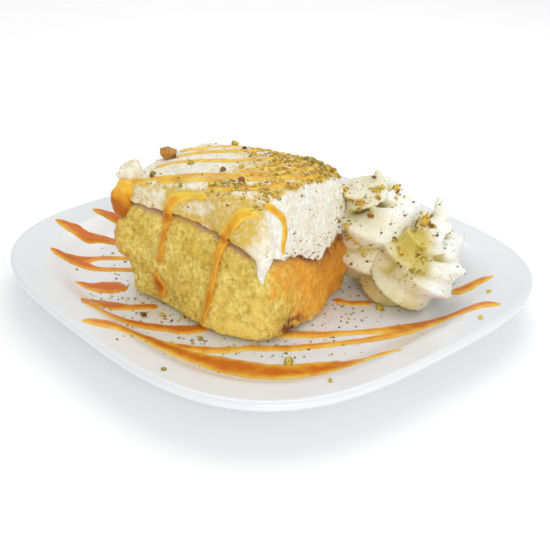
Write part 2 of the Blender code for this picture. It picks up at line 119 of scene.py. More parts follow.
def new_piece(name, points, faces, finish):
    """A smooth-shaded object at the origin, from points in millimetres."""
    mesh = bpy.data.meshes.new(name)
    mesh.from_pydata([tuple(p) for p in np.asarray(points, float) * MM], [], faces)
    shape = bmesh.new()
    shape.from_mesh(mesh)
    bmesh.ops.recalc_face_normals(shape, faces=shape.faces)
    shape.to_mesh(mesh)
    shape.free()
    mesh.shade_smooth()
    mesh.materials.append(finish)
    obj = bpy.data.objects.new(name, mesh)
    bpy.context.scene.collection.objects.link(obj)
    return obj


def add_part(points, faces, more_points, more_faces):
    """Put another part's points and faces behind those of two lists."""
    shift = len(points)
    points.extend(more_points)
    faces.extend(tuple(i + shift for i in face) for face in more_faces)


def store(obj, name, values):
    """Keep one number for each point of the mesh, for a material to read."""
    attribute = obj.data.attributes.new(name, "FLOAT", "POINT")
    attribute.data.foreach_set("value", np.asarray(values, np.float32))


def skin(rings):
    """Points and faces over equal closed rings, with both ends shut."""
    count = len(rings[0])
    faces = []
    for k in range(len(rings) - 1):
        for i in range(count):
            j = (i + 1) % count
            faces.append((k * count + i, k * count + j, (k + 1) * count + j, (k + 1) * count + i))
    last = (len(rings) - 1) * count
    faces.append(tuple(range(count)))
    faces.append(tuple(range(last, last + count)))
    return np.concatenate(rings), faces


def plate_rise(share):
    """How far the upper face stands over the well, from the centre (0) to the edge (1)."""
    return WALL_RISE * smooth((share - 0.70) / 0.18) + RIM_RISE * np.clip((share - 0.78) / 0.22, 0, 1)


# patterns are scaled per millimetre: here a clouding of 33 mm and ripples in the glaze of 8 mm
porcelain, add, shader, at = new_finish("glazed_porcelain")
cloud = add("TexNoise", {"Vector": at, "Scale": 0.03, "Detail": 2.0})
body = add("Mix", {0: cloud, 6: "#E4E7EA", 7: "#EBEDF1"}, data_type="RGBA")
# the milk film: an oval round the slice, its rim broken by noise
oval = add("Mapping", {"Vector": at, "Location": (2, 26, 0)})
oval = add("Mapping", {"Vector": oval, "Rotation": (0, 0, -0.27),
                       "Scale": (1 / MILK_LENGTH, 1 / MILK_WIDTH, 0)})
reach = add("VectorMath", {0: oval}, operation="LENGTH")
ragged = add("TexNoise", {"Vector": at, "Scale": 0.09, "Detail": 4.0})
edge = add("Math", {0: reach, 1: ragged}, operation="ADD")
film = add("MapRange", {0: edge, 1: 1.22, 2: 1.5, 3: 0.4, 4: 0.0})
milky = add("Mix", {0: film, 6: body, 7: "#E6DEB8"}, data_type="RGBA")
peel = add("TexNoise", {"Vector": at, "Scale": 0.12, "Detail": 1.0})
relief = add("Bump", {"Height": peel, "Strength": 0.06, "Distance": 0.001})
plug(shader, {"Base Color": milky, "Normal": relief, "Roughness": 0.2, "IOR": 1.52,
              "Coat Weight": 0.12, "Coat Roughness": 0.05})

shares = np.concatenate(([0.02, 0.2, 0.4, 0.6], np.linspace(0.68, LIP, 34)))
profile = [(s, WELL_HEIGHT + plate_rise(s)) for s in shares]
rim = WELL_HEIGHT + plate_rise(1.0)
for angle in np.linspace(0.25, 1.0, 7) * math.pi:           # the lip is rounded over its whole thickness
    profile.append((LIP + (1 - LIP) * math.sin(angle), rim - 2.3 + 2.2 * math.cos(angle)))
for s in (0.96, 0.92, 0.88, 0.84, 0.80, 0.76, 0.72, 0.68):
    profile.append((s, WELL_HEIGHT + plate_rise(s) - PLATE_THICK))
FOOT_RING = ((0.66, 3.0), (0.645, 0.9), (0.64, 0.2), (0.635, 0.0), (0.605, 0.0), (0.60, 0.2), (0.595, 2.6),
             (0.58, 3.2), (0.3, 3.2), (0.02, 3.2))
profile.extend(FOOT_RING)
turns = np.linspace(0, math.tau, 192, endpoint=False)
x, y = np.cos(turns), np.sin(turns)
reach_out = PLATE_HALF / (abs(x) ** PLATE_POWER + abs(y) ** PLATE_POWER) ** (1 / PLATE_POWER)
rings = [np.stack((s * reach_out * x, s * reach_out * y, np.full(len(turns), z)), 1) for s, z in profile]
plate = new_piece("plate_glazed", *skin(rings), porcelain)
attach(plate, "root")
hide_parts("plate")


# ---- Sponge ----
# Yellow butter sponge, soaked in milk and torn rather than cut, so its faces are open crumb with pits of
# 1 to 3 mm. The face to the right is the loaf's baked side: golden to brown, knobbly at its foot.
# A thin brown skin shows under the cream, and the crumb is wet, with a faint sheen.
SLICE_TURN = math.radians(15.5)
c, s = math.cos(SLICE_TURN), math.sin(SLICE_TURN)
SPIN = np.array(((c, s, 0), (-s, c, 0), (0, 0, 1)))
SLICE_PLACE = np.array((2.1, -20.4, WELL_HEIGHT + 0.3))
HALF_A = 38.1
HALF_B = 32.2
SPONGE_HEIGHTS = (44.0, 34.5, 28.5, 42.0)        # at the left, front, right and back corners
HUMP = 4.2
SAG = 6.5
FACE_FLARE = 9.0
BROWN_LEAN = 8.0
END_BULGE = 4.5
LEAN_FROM, LEAN_OVER = 24, 34
SIDE_BULGE = 4.5
BACK_BULGE = 3.5
PORE_CELL = 2.9
HOLLOW_PLACE, HOLLOW_DEPTH = (-12.5, 0, 5.5), 3.2
SCORCH_PLACE = (0, -20.5, 0.5)
CORNER_BULGE = (np.array((-40.2, -30.2, 26.0)), np.array((5.0, 4.8, 9.5)))


def to_plate(points):
    """From the slice's frame (a along the torn face, b away from it, z up) to the plate's."""
    return np.asarray(points, float) @ SPIN + SLICE_PLACE


def to_slice(points):
    return (np.asarray(points, float) - SLICE_PLACE) @ SPIN.T


ANY = np.inf


def spot(points, centre, spread):
    """1 at a place, fading away over spread; where that is ANY, the coordinate doesn't matter."""
    return np.exp(-(((points - centre) / spread) ** 2).sum(1))


def corner_blend(a, b, heights):
    left, front, right, back = heights
    s, t = (a / HALF_A + 1) / 2, (b / HALF_B + 1) / 2
    return (1 - s) * (1 - t) * left + s * (1 - t) * front + s * t * right + (1 - s) * t * back


def sponge_top(a, b):
    """The sponge's upper face has a hump along the middle of the torn face, and sags at the right."""
    hump = HUMP * bump(a, -1, 22) * smooth(-b / HALF_B)
    sag = SAG * bump(b, 2, 11) * smooth((a - 20) / 16)
    return corner_blend(a, b, SPONGE_HEIGHTS) + hump - sag


def end_shift(p, z):
    """The browned face leans in towards its top, and the left end swells."""
    lean = -BROWN_LEAN * p * np.maximum(0, (z - LEAN_FROM) / LEAN_OVER)
    return np.where(p > 0, lean, END_BULGE * p * smooth((z - 6) / 16))


def flare(a, z):
    """How far the torn face leans out at height z."""
    return FACE_FLARE * bump(a, 14, 26) * np.maximum(0, 1 - z / sponge_top(a, -HALF_B))


def cube_skin(cells):
    """The surface of a cube of cells: its points, from -1 to 1, and its faces."""
    index, faces = {}, []
    for axis in range(3):
        u, v = (axis + 1) % 3, (axis + 2) % 3
        for level, i, j in product((0, cells[axis]), range(cells[u]), range(cells[v])):
            face = []
            for du, dv in ((0, 0), (1, 0), (1, 1), (0, 1)):
                at = [level] * 3
                at[u], at[v] = i + du, j + dv
                face.append(index.setdefault(tuple(at), len(index)))
            faces.append(face)
    return 2 * np.array(list(index)) / cells - 1, faces


def swell_to(points, centre, radii, way):
    """Push points that lie inside an ellipsoid out to its far side, in direction way."""
    offset, step = (points - centre) / radii, way / radii
    along = (offset * step).sum(1) / (step ** 2).sum()
    reach = (offset ** 2).sum(1)
    room = along ** 2 - (reach - 1) / (step ** 2).sum()
    travel = np.sqrt(np.maximum(0, room)) - along
    return points + (np.maximum(0, travel) * (room > 0) * (reach < 3))[:, None] * way


def round_edges(cube, power):
    return cube * (np.abs(cube) ** power).sum(1, keepdims=True) ** (-1 / power)


def grain(points, size, shift=0.0, octaves=1):
    """Smooth noise at points, about -1 to 1, with lumps of the given size in millimetres."""
    aside = Vector((shift, 0, 0))
    return np.array([noise.fractal(Vector(p) / size + aside, 1.0, 2.0, octaves) for p in points])


def read(items, field, count, kind=np.float32):
    """One field of a mesh's points or edges, as rows of count numbers."""
    found = np.empty(len(items) * count, kind)
    items.foreach_get(field, found)
    return found.reshape(-1, count)


def normals_of(obj):
    return read(obj.data.vertex_normals, "vector", 3)


def points_of(obj):
    return read(obj.data.vertices, "co", 3) / MM


def move_points(obj, points):
    obj.data.vertices.foreach_set("co", (np.asarray(points) * MM).astype(np.float32).ravel())
    obj.data.update()


# strands and cells of crumb of 1.8 mm, pale and wet patches of 9 mm, flecks of 1 mm
crumb, add, shader, at = new_finish("soaked_sponge_crumb")
pore_shade, brown, baked_top, soaked, buttery, burnt = (
    add("Attribute", attribute_name=name).outputs["Fac"]
    for name in ("pore_shade", "brown", "baked_top", "soaked", "buttery", "scorched"))
strand = add("Mapping", {"Vector": at, "Scale": (1, 1, 0.75)})
speckle = add("TexNoise", {"Vector": strand, "Scale": 0.55, "Detail": 6.0, "Roughness": 0.75})
patches = add("TexNoise", {"Vector": at, "Scale": 0.11, "Detail": 3.0})
flecks = add("TexNoise", {"Vector": at, "Scale": 0.95, "Detail": 3.0, "Roughness": 0.65})
blotch = add("MapRange", {0: patches, 1: 0.35, 2: 0.65})
shade = add("MapRange", {0: speckle, 1: 0.34, 2: 0.62})
flecked = add("MapRange", {0: flecks, 1: 0.56, 2: 0.68, 3: 0.0, 4: 0.7})
# painted shade: the deeper pores are coloured darker
hollow = add("MapRange", {0: pore_shade, 1: 0.35, 2: 1.1, 3: 0.0, 4: 0.8})
how_baked = add("MapRange", {0: brown, 1: 0.05, 2: 0.35})
pale = add("Mix", {0: blotch, 6: "#E9CD59", 7: "#FFF290"}, data_type="RGBA")
bake = add("ValToRGB", {0: brown},
           stops=((0, "#FAD460"), (0.35, "#F9BA44"), (0.65, "#E09630"), (1, "#A66423")))
baked_grain = add("Mix", {0: shade, 6: "#D89430", 7: bake}, data_type="RGBA")
# one over the other: pale crumb, flecks, painted shade in the pores, crumb with caramel soaked in,
# crumb the colour of butter, the baked side, the thin brown skin under the cream, burnt spots
colour = "#C8A236"
for share, over in ((shade, pale), (flecked, "#A5862D"), (hollow, "#A27D25"), (soaked, "#D8953A"),
                    (buttery, "#FFE176"), (how_baked, baked_grain), (baked_top, "#C49A78"),
                    (burnt, "#7C341A")):
    colour = add("Mix", {0: share, 6: colour, 7: over}, data_type="RGBA")
wet = add("MapRange", {0: patches, 1: 0.35, 2: 0.7, 3: 0.42, 4: 0.8})
relief = add("Bump", {"Height": speckle, "Strength": 0.5, "Distance": 0.0006})
plug(shader, {"Base Color": colour, "Normal": relief, "Roughness": wet, "IOR": 1.40,
              "Subsurface Weight": 0.25, "Subsurface Radius": (1.0, 0.6, 0.25), "Subsurface Scale": 0.0022})

# p, q and r run from -1 to 1 along a, b and z
cube, faces = cube_skin((136, 114, 72))
p, q, r = round_edges(cube, 12).T
a, b = HALF_A * p, HALF_B * q
z = (r + 1) / 2 * sponge_top(a, b)
b = b - flare(a, z) * np.maximum(0, -q)
side_swell = (SIDE_BULGE * bump(b, -5, 16) * np.maximum(0, 1 - z / 26)
              + BACK_BULGE * bump(b, 29, 6) * bump(z, 16, 6))
local = np.stack((a + side_swell * np.maximum(0, p) + end_shift(p, z), b, z), 1)
local = swell_to(local, *CORNER_BULGE, np.array((-0.707, -0.707, 0.0)))
sponge = new_piece("sponge_crumb", to_plate(local), faces, crumb)
below_cream = sponge_top(np.clip(a, -HALF_A, HALF_A), np.clip(b, -HALF_B, HALF_B)) - z
a, b, z = local.T
on_side = 1 - smooth((np.abs(normals_of(sponge)[:, 2]) - 0.45) / 0.4)
baked = smooth((p - 0.9) / 0.08)
lumps = grain(local, 8, 3, 2)
crags = np.abs(grain(local * (1, 1, 0.8), 4.6, 90, 2))
crumbs = grain(local, 1.5, 40, 2)
cells = np.array([noise.voronoi(Vector(v) / PORE_CELL)[0][0] for v in local * (1, 1, 0.8)])
# pores open in some places and close in others, a torn-out hollow low on the face, and crumbs at the foot
pores = (1 - smooth(cells / 0.4)) * smooth(0.3 + 1.6 * grain(local, 9, 61))
depth = 0.9 * lumps + (1.1 - 0.3 * baked) * crags + 0.4 * crumbs + (1.4 - 0.7 * baked) * pores - 0.2
depth += HOLLOW_DEPTH * spot(local, HOLLOW_PLACE, (4.2, ANY, 4.5)) * (q < -0.5)
depth -= 1.7 * bump(z, 0.5, 3.4) * np.maximum(0, grain(local, 3.6, 21, 2))
move_points(sponge, to_plate(local) - normals_of(sponge) * (depth * on_side)[:, None])
# pore_shade: painted shade, strongest where the crumb is pitted deepest
store(sponge, "pore_shade", np.clip(0.7 * pores + 0.7 * crags + 0.4 * crumbs, 0, 1) * on_side)
low_front = spot(local, (24, 0, 6), (16, ANY, 15)) * (1 - baked)
store(sponge, "buttery", 0.8 * low_front * smooth(0.7 + grain(local, 6, 51, 2)))
towards_back = np.clip((b + 33) / 62, 0, 1)
store(sponge, "brown", baked * np.clip(0.02 + 0.72 * towards_back + 0.2 * smooth((z - 8) / 20)
                                       + 0.2 * grain(local, 6, 5, 2), 0, 1))
# burnt: one spot at the foot, and the crust's upper edge towards the back
scorch = 1.7 * spot(local, SCORCH_PLACE, (ANY, 6.5, 6.5)) * smooth((p - 0.7) / 0.2)
scorch += 0.45 * baked * smooth((towards_back - 0.35) / 0.4) * bump(below_cream, 1, 5)
store(sponge, "scorched", np.clip(scorch * (0.9 + 1.6 * grain(local, 2.6, 33, 2)), 0, 0.95))
line = (1 - smooth((below_cream - 1.2 - 0.9 * grain(local, 5, 8)) / 1.8)) * (1 - 0.6 * baked)
store(sponge, "baked_top", np.clip(line * (0.75 + 0.6 * grain(local, 4, 3)), 0, 0.9))
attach(sponge, "root")
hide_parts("sponge")


# ---- Whipped cream on top ----
# Sweetened whipped cream, spread with a palette knife: soft undulations on top, a lump left standing at the
# left end, a stippled right side with a ragged hem over the baked crust, and a tongue that has slid down over
# the front corner. Fat and air scatter light deep inside, so its shadows are pale and slightly yellow.
CREAM_HEIGHTS = (50.0, 60.0, 54.0, 52.0)
CREAM_DOME = 6.0
CREAM_PROUD = 0.5                                # how far it stands out past the sponge
TONGUE_TIP, TONGUE_ROOT = 27.0, 57.0
TONGUE_MIDDLE = (23, 0, 50)
LUMP_PLACE, LUMP_RADII = (-40.0, -25.0, 51.5), (5.5, 5.3, 7.5)


def cream_top(a, b):
    share = ((a / HALF_A) ** 2 + (b / HALF_B) ** 2) / 2
    flat = np.stack((a, b, np.full(len(a), 3.0)), 1)
    return corner_blend(a, b, CREAM_HEIGHTS) + CREAM_DOME * (1 - share) + 0.9 * grain(flat, 13)


def ball(centre, radii, unevenness):
    """A rounded lump in the slice's frame, its radii along a, b and z."""
    cube, faces = cube_skin((24, 24, 30))
    ways = cube / np.linalg.norm(cube, axis=1, keepdims=True)
    points = np.array(centre) + ways * radii
    return to_plate(points + ways * (unevenness * grain(points, 5, 15, 2))[:, None]), faces


def join_meshes(objects, mesh):
    joined = bmesh.new()
    for part in objects:
        joined.from_mesh(part.data)
    joined.to_mesh(mesh)
    joined.free()


def join_into(obj, others):
    """Take the other pieces' faces into one mesh; the others are removed."""
    join_meshes((obj, *others), obj.data)
    for part in others:
        bpy.data.objects.remove(part)


def keep_result(obj):
    """Turn what the modifiers make of an object into its own plain mesh."""
    bpy.context.view_layer.update()
    shown = obj.evaluated_get(bpy.context.evaluated_depsgraph_get())
    mesh = bpy.data.meshes.new_from_object(shown)
    obj.modifiers.clear()
    obj.data = mesh


def tongue_rings():
    """The tongue, from its tip up to where it leaves the top: rings round it in the slice's frame."""
    tip = TONGUE_TIP
    outer_shares, inner_shares = np.linspace(0, 1, 22), np.linspace(0.93, 0.07, 9)
    rings = []
    for z in np.linspace(tip, TONGUE_ROOT, 40):
        left = -4.2 - 1.3 * smooth((z - tip) / 3) - 20.5 * smooth((z - 35) / 11) ** 1.5
        right = -3.0 + 7.5 * smooth((z - tip) / 17)
        bulk = 0.7 + 4.2 * math.sin(math.pi * min(0.62, (z - tip) / 40 + 0.05))
        bulk *= 1 - 0.55 * smooth((z - 44) / 12)
        inner = 0.2 if z < 41 else -2.5
        corner = HALF_A + end_shift(1, z)
        ring = []
        for number, f in enumerate((*outer_shares, *inner_shares)):
            t = left + (right - left) * f
            is_outer = number < len(outer_shares)
            out = 0.6 + bulk * math.sin(math.pi * f) ** 0.8 if is_outer else inner
            near = smooth((t + 5) / 10)
            lean = flare(corner + min(t, 0), z)
            on_cut = np.array((corner + min(t, 2.0), -HALF_B - lean - out, z))
            on_side = np.array((corner + out, -HALF_B + max(t, -2.0), z))
            ring.append(on_cut * (1 - near) + on_side * near)
        rings.append(np.array(ring))
    return rings


def melt(obj, cell, passes):
    """Join whatever the object holds into one soft skin of square cells."""
    remesh = obj.modifiers.new("melt", "REMESH")
    remesh.mode = "VOXEL"
    remesh.voxel_size = cell * MM
    soften = obj.modifiers.new("soften", "SMOOTH")
    soften.iterations = passes
    soften.factor = 0.5
    keep_result(obj)
    obj.data.shade_smooth()


def creases(obj, passes, deepest):
    """0 on open faces to 1 in folds: how far each point lies under a smoothed copy of the surface."""
    points = even = points_of(obj)
    edges = read(obj.data.edges, "vertices", 2, np.int32)
    start, end = np.concatenate((edges, edges[:, ::-1])).T
    count = np.bincount(start)[:, None]
    for _ in range(passes):
        total = np.stack([np.bincount(start, even[end, k]) for k in range(3)], 1)
        even = (even + total / count) / 2
    return np.clip(((even - points) * normals_of(obj)).sum(1) / deepest, -1, 1)


def cream_finish(name, shaded, lit, fold_shade_colour, stain_and_shade, uneven, dusting):
    """Whipped cream: warm white in clouds of 2 mm, with painted shade in its folds, tinted beside sauce, with
    nut dust.

    Its foam is drawn with bubbles of 0.8 mm, coarser than they are, so that the surface shows as foam.
    """
    made, add, shader, at = new_finish(name)
    fold_shade, tint = (add("Attribute", attribute_name=key).outputs["Fac"] for key in ("fold_shade", "tint"))
    clouds = add("TexNoise", {"Vector": at, "Scale": 0.5, "Detail": 6.0, "Roughness": 0.7})
    bright = add("MapRange", {0: clouds, 1: 0.36, 2: 0.56})
    # painted shade: the colour darkens into the folds
    deep = add("MapRange", {0: fold_shade, 1: 0.05, 2: 0.9, 3: 0.0, 4: 0.8})
    sunk = add("MapRange", {0: clouds, 1: 0.36, 2: 0.6, 3: 1 + uneven, 4: 1 - 1.5 * uneven})
    # the tint is mostly stain; on the tongue and low on the rosettes it is partly painted shade
    stained = add("Math", {0: tint, 1: sunk}, operation="MULTIPLY", use_clamp=True)
    # dust: at most one dot in each cell of 1.1 mm, and the wider the higher the clump noise
    dots = add("TexVoronoi", {"Vector": at, "Scale": 0.9})
    clumps = add("TexNoise", {"Vector": at, "Scale": 0.13, "Detail": 2.0})
    allowed = add("MapRange", {0: clumps, 1: 0.45, 2: 0.75, 3: 0.0, 4: dusting})
    is_dot = add("Math", {0: dots, 1: allowed}, operation="LESS_THAN")
    pick = add("SeparateColor", {0: dots.outputs["Color"]})
    dust = add("Mix", {0: pick, 6: "#8F8A3A", 7: "#B98A3E"}, data_type="RGBA")
    colour = shaded
    for share, over in ((bright, lit), (deep, fold_shade_colour), (stained, stain_and_shade), (is_dot, dust)):
        colour = add("Mix", {0: share, 6: colour, 7: over}, data_type="RGBA")
    foam = add("TexNoise", {"Vector": at, "Scale": 1.2, "Detail": 4.0})
    relief = add("Bump", {"Height": foam, "Strength": 0.3, "Distance": 0.0005})
    plug(shader, {"Base Color": colour, "Normal": relief, "Roughness": 0.42, "IOR": 1.45,
                  "Subsurface Weight": 0.25, "Subsurface Radius": (0.9, 0.95, 0.6),
                  "Subsurface Scale": 0.003})
    return made


spread_cream = cream_finish("whipped_cream_spread", "#E4E3CF", "#FCFCF4", "#D5D0B4", "#DCB94A", 0.2, 0.44)
cube, faces = cube_skin((86, 73, 20))
p, q, r = round_edges(cube, 11).T
a = (HALF_A + CREAM_PROUD) * p + 1.2 * np.maximum(0, p)
b = (HALF_B + CREAM_PROUD) * q
level = (r + 1) / 2
rim_share = smooth((np.maximum(np.abs(p), np.abs(q)) - 0.955) / 0.03)
around = np.stack((a, b, np.zeros(len(a))), 1)
ragged = (0.8 + 2.6 * grain(around, 3.1, 60)) * (1 + 0.7 * bump(b, 2, 12)) * smooth((p - 0.93) / 0.05)
hem = rim_share * (1.3 + 1.5 * grain(around, 8, 30) + ragged)
low = sponge_top(a, b) + 0.2 - hem * (1 - level) ** 2
z = low + (cream_top(a, b) - low) * level
topping = new_piece("cream_spread", to_plate(np.stack((a + end_shift(p, z), b, z), 1)), faces, spread_cream)
tongue = new_piece("tongue", *skin([to_plate(ring) for ring in tongue_rings()]), spread_cream)
lump = new_piece("lump", *ball(LUMP_PLACE, LUMP_RADII, 2.0), spread_cream)
join_into(topping, (tongue, lump))
melt(topping, 0.75, 3)
local = to_slice(points_of(topping))
a, b, z = local.T
out = normals_of(topping)
up = out[:, 2]
right_side = smooth((a - end_shift(1, z) - 36.5) / 1.5)
right_side = right_side * smooth((b + 24) / 4) * (1 - smooth((up - 0.5) / 0.3))
waves = 0.35 * grain(local, 5, 2) * smooth((up - 0.3) / 0.4)
stipple = 0.5 * grain(local, 2.0, 7, 2) * right_side
front_face = smooth((-b - 30) / 2) * (1 - smooth((a - 14) / 8))
folds = (0.6 * grain(local, 3.5, 12, 2) + 0.35 * grain(local, 1.8, 19, 2)) * front_face
move_points(topping, points_of(topping) + out * (waves + stipple + folds)[:, None])
# fold_shade: painted shade in the creases of the spread cream
store(topping, "fold_shade", creases(topping, 12, 0.6))
patchy = smooth(0.5 + 1.7 * grain(local, 7, 44, 3))
stained = front_face * (0.42 + 0.7 * patchy)
# on the tongue the tint is partly caramel stain and partly painted shade
on_tongue = smooth((-b - 29) / 3) * spot(local, TONGUE_MIDDLE, (10, ANY, 10))
to_right = smooth((a + 0.5 * b + 22) / 40)
between_lines = (0.25 + 0.75 * to_right) * (0.4 + 0.6 * patchy) * smooth((up - 0.5) / 0.3)
on_lump = spot(local, LUMP_PLACE, (7, 7, ANY)) * smooth((z - 52) / 3)
cream_tint = stained + 1.6 * on_tongue + between_lines + 0.16 * right_side * patchy + 0.3 * on_lump
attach(topping, "root")
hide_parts("cream_topping")


# ---- Caramel over the slice ----
# Caramel sauce, run from a spoon in thin lines over the top, and down over the edges where it gathered.
# Cooked sugar and butter: clear amber, golden where it is thin and orange where it is deep, very glossy.
# Each line is a domed film 0.5 to 1.5 mm thick that lies on the cream or the crumb under it.
LINE_THICK = 0.7
RUN_THICK = 0.6
SIDE_RUN_THICK = 0.9
DROP_PLACE, DROP_RADII = (-40.9, -31.0, 42.8), (4.9, 4.6, 7.2)
DROP_NECK_PLACE, DROP_NECK_RADII = (-38.2, -30.9, 49.0), (5.0, 3.4, 3.8)


def curve_through(stops, steps):
    """Catmull-Rom curve through stops, each a tuple of numbers."""
    padded = [stops[0], *stops, stops[-1]]
    found = []
    for k in range(1, len(padded) - 2):
        p0, p1, p2, p3 = (np.array(s, float) for s in padded[k - 1:k + 3])
        for t in np.arange(steps) / steps:
            found.append(0.5 * (2 * p1 + (p2 - p0) * t + (2 * p0 - 5 * p1 + 4 * p2 - p3) * t ** 2
                                + (3 * p1 - p0 - 3 * p2 + p3) * t ** 3))
    found.append(np.array(stops[-1], float))
    return np.array(found)


def surface(*objects):
    """What sauce and nuts can lie on, in millimetres."""
    points, faces = [], []
    for obj in objects:
        add_part(points, faces, map(tuple, points_of(obj)), (face.vertices for face in obj.data.polygons))
    return BVHTree.FromPolygons(points, faces)


def slice_axes(across, up, into):
    """A view onto the slice: directions in its frame for a stop's two places, and the way sauce falls."""
    return SLICE_PLACE, *(to_plate(way) - SLICE_PLACE for way in (across, up, into))


def poured(name, lines, axes, base, thick, finish, bridge=0):
    """One piece of sauce from lines of stops (place, place, width), each laid on a surface as a domed film.

    Where it runs down a step, the film takes the nearest surface within bridge places each way.
    """
    away = 90.0                      # the rays start this far off
    sunk, proud = 0.35, 0.06         # how far the film's faces lie under and over what carries it
    origin, across, up, into = (np.array(v, float) for v in axes)
    points, faces, depths = [], [], []
    spots = np.linspace(-1, 1, 11)
    domes = 1 - np.abs(spots) ** 3
    for number, stops in enumerate(lines):
        path = curve_through(stops, 10)
        run = np.concatenate(([0], np.cumsum(np.hypot(*np.diff(path[:, :2], axis=0).T))))
        halves, places, reached = [], [], []
        for k, (s, t, width) in enumerate(path):
            before, after = path[max(0, k - 1)], path[min(len(path) - 1, k + 1)]
            along = after[:2] - before[:2]
            along /= max(1e-6, np.linalg.norm(along))
            wander = Vector((run[k] / 5, number * 7.3, 0.0))
            width *= 1 + 0.16 * noise.noise(wander)
            to_end = min(run[k], run[-1] - run[k])
            half = width / 2 * math.sqrt(max(0.02, 1 - max(0.0, 1 - to_end / (width / 2 + 0.1)) ** 2))
            sway = 0.25 * noise.noise(wander + Vector((0, 3, 5)))
            halves.append(half)
            offsets = half * spots + sway
            places.append([origin + (s - along[1] * o) * across + (t + along[0] * o) * up for o in offsets])
            falls = [base.ray_cast(Vector(place - into * away), Vector(into))[3] for place in places[-1]]
            landed = [fall for fall in falls if fall is not None]
            reached.append([fall if fall is not None else max(landed, default=away) for fall in falls])
        padded = np.pad(np.array(reached), ((bridge, bridge), (0, 0)), mode="edge")
        nearest = np.min([padded[k:k + len(path)] for k in range(2 * bridge + 1)], axis=0)
        padded = np.pad(nearest, ((1, 1), (0, 0)), mode="edge")
        lie = (padded[:-2] + 2 * padded[1:-1] + padded[2:]) / 4 - away
        rings = []
        for half, place, fall in zip(halves, places, lie):
            body = thick * domes * min(1.0, 0.15 + half / 3.5)
            tops = [at + into * (f - proud - h) for at, f, h in zip(place, fall, body)]
            bottoms = [at + into * (f + sunk) for at, f in zip(place, fall)]
            rings.append(np.array(tops + bottoms[::-1]))
            depths.extend((1 - spots ** 2) * min(1.0, half / 4.2))
            depths.extend([0.0] * len(spots))
        add_part(points, faces, *skin(rings))
    piece = new_piece(name, points, faces, finish)
    store(piece, "depth", depths)
    return piece


def caramel_finish(name, thin, middle, deep):
    """Caramel: amber that deepens with the film's depth, in streaks of 7 mm, and where sauce has gathered."""
    made, add, shader, at = new_finish(name)
    depth, gathered = (add("Attribute", attribute_name=key).outputs["Fac"] for key in ("depth", "gathered"))
    streaks = add("TexNoise", {"Vector": at, "Scale": 0.14, "Detail": 3.0})
    mixed = add("Math", {0: streaks, 1: 1.3, 2: -0.65}, operation="MULTIPLY_ADD")
    body = add("Math", {0: depth, 1: mixed}, operation="ADD")
    total = add("Math", {0: body, 1: gathered}, operation="ADD")
    amber = add("ValToRGB", {0: total}, stops=((0, thin), (0.45, middle), (1, deep)))
    plug(shader, {"Base Color": amber, "Roughness": 0.16, "IOR": 1.45, "Specular IOR Level": 0.22,
                  "Subsurface Weight": 0.2, "Subsurface Radius": (1.0, 0.45, 0.12),
                  "Subsurface Scale": 0.002})
    return made


caramel = caramel_finish("caramel_drizzle", "#F8D150", "#E9A82F", "#B8671A")
on_slice = surface(topping, sponge)
from_above = slice_axes((1, 0, 0), (0, 1, 0), (0, 0, -1))
at_face = slice_axes((1, 0, 0), (0, 0, 1), (0, 1, 0))
at_right_side = slice_axes((0, 1, 0), (0, 0, 1), (-1, 0, 0))
TOP_LINES = (
    ((-36.2, -29.6, 4), (-34.6, -29.8, 4.6), (-32.5, -29.4, 4.4), (-29, -27.4, 3.8), (-24, -25.4, 3.4),
     (-12, -22.8, 3), (-3, -17.5, 3), (7, -12.5, 3.2), (16, -4.5, 3.6), (21.5, 3.2, 3.6), (24, 13, 3.2),
     (24, 24, 2.6)),
    ((-23, -28.8, 3), (-10, -26, 3.2), (0, -21.5, 3.2), (10, -17.3, 3.6), (18.7, -10, 3.8), (24, -4.5, 3.4),
     (28, 4, 3), (30, 14, 2.4)),
    ((2, -9.5, 1.2), (6, -7.4, 2.2), (11, -2, 2.8), (15, 6, 3), (18, 16, 2.6)),
    ((-35, -14.8, 2.6), (-29.6, -8.5, 2.8), (-21.6, -6.3, 2.8), (-8.6, 0.6, 2.8), (-1.4, 5.2, 2.8),
     (6, 11.6, 2.8), (9.5, 20, 2.6)),
    ((-34, -2.1, 2.6), (-25.3, 5.9, 2.6), (-13, 14.4, 2.6), (-6.6, 23, 2.4), (-2, 29, 2)),
    ((-37.5, 5.5, 3.4), (-34.5, 12, 3.2), (-30.5, 18, 2.8), (-25.5, 23, 2.6), (-19, 28, 2.4)),
    ((2.5, -28.8, 3.2), (11.7, -28, 3.4), (18, -23.4, 3.4), (23, -19.5, 3.4), (27, -14, 3), (30, -6, 2.4)),
    ((-30, 8, 1.8), (-20, 15, 2), (-12, 22, 2), (-9, 29, 1.8)),
)
FACE_RUNS = (
    ((5, 57, 2), (1, 55.8, 2.4), (-3.5, 54.6, 3), (-8, 53.2, 4.2), (-11.6, 50.6, 4.8), (-14, 47.2, 4.4),
     (-15.2, 43, 4.4), (-15.8, 39.5, 3), (-16.8, 35.5, 2.2), (-17.2, 30, 2), (-17.8, 26, 1.8),
     (-19.5, 20.5, 1.4)),
    ((-20.5, 15.5, 1.8), (-20, 11.5, 4.4), (-18.4, 8.5, 4.8), (-18, 4.5, 2.4)),
    ((30.6, 55.4, 1.2), (28.6, 55.8, 2.6), (26.4, 55.6, 3.8), (23.2, 54.2, 4.6), (20.6, 50.8, 4.6),
     (18, 46.6, 4.4), (15.3, 42.5, 4.4), (13.2, 39, 3.4), (12.2, 34, 2.4), (11.6, 27, 2.2), (11, 18.4, 2.6),
     (9.8, 9.5, 2.2), (9, 4.5, 1.8)),
)
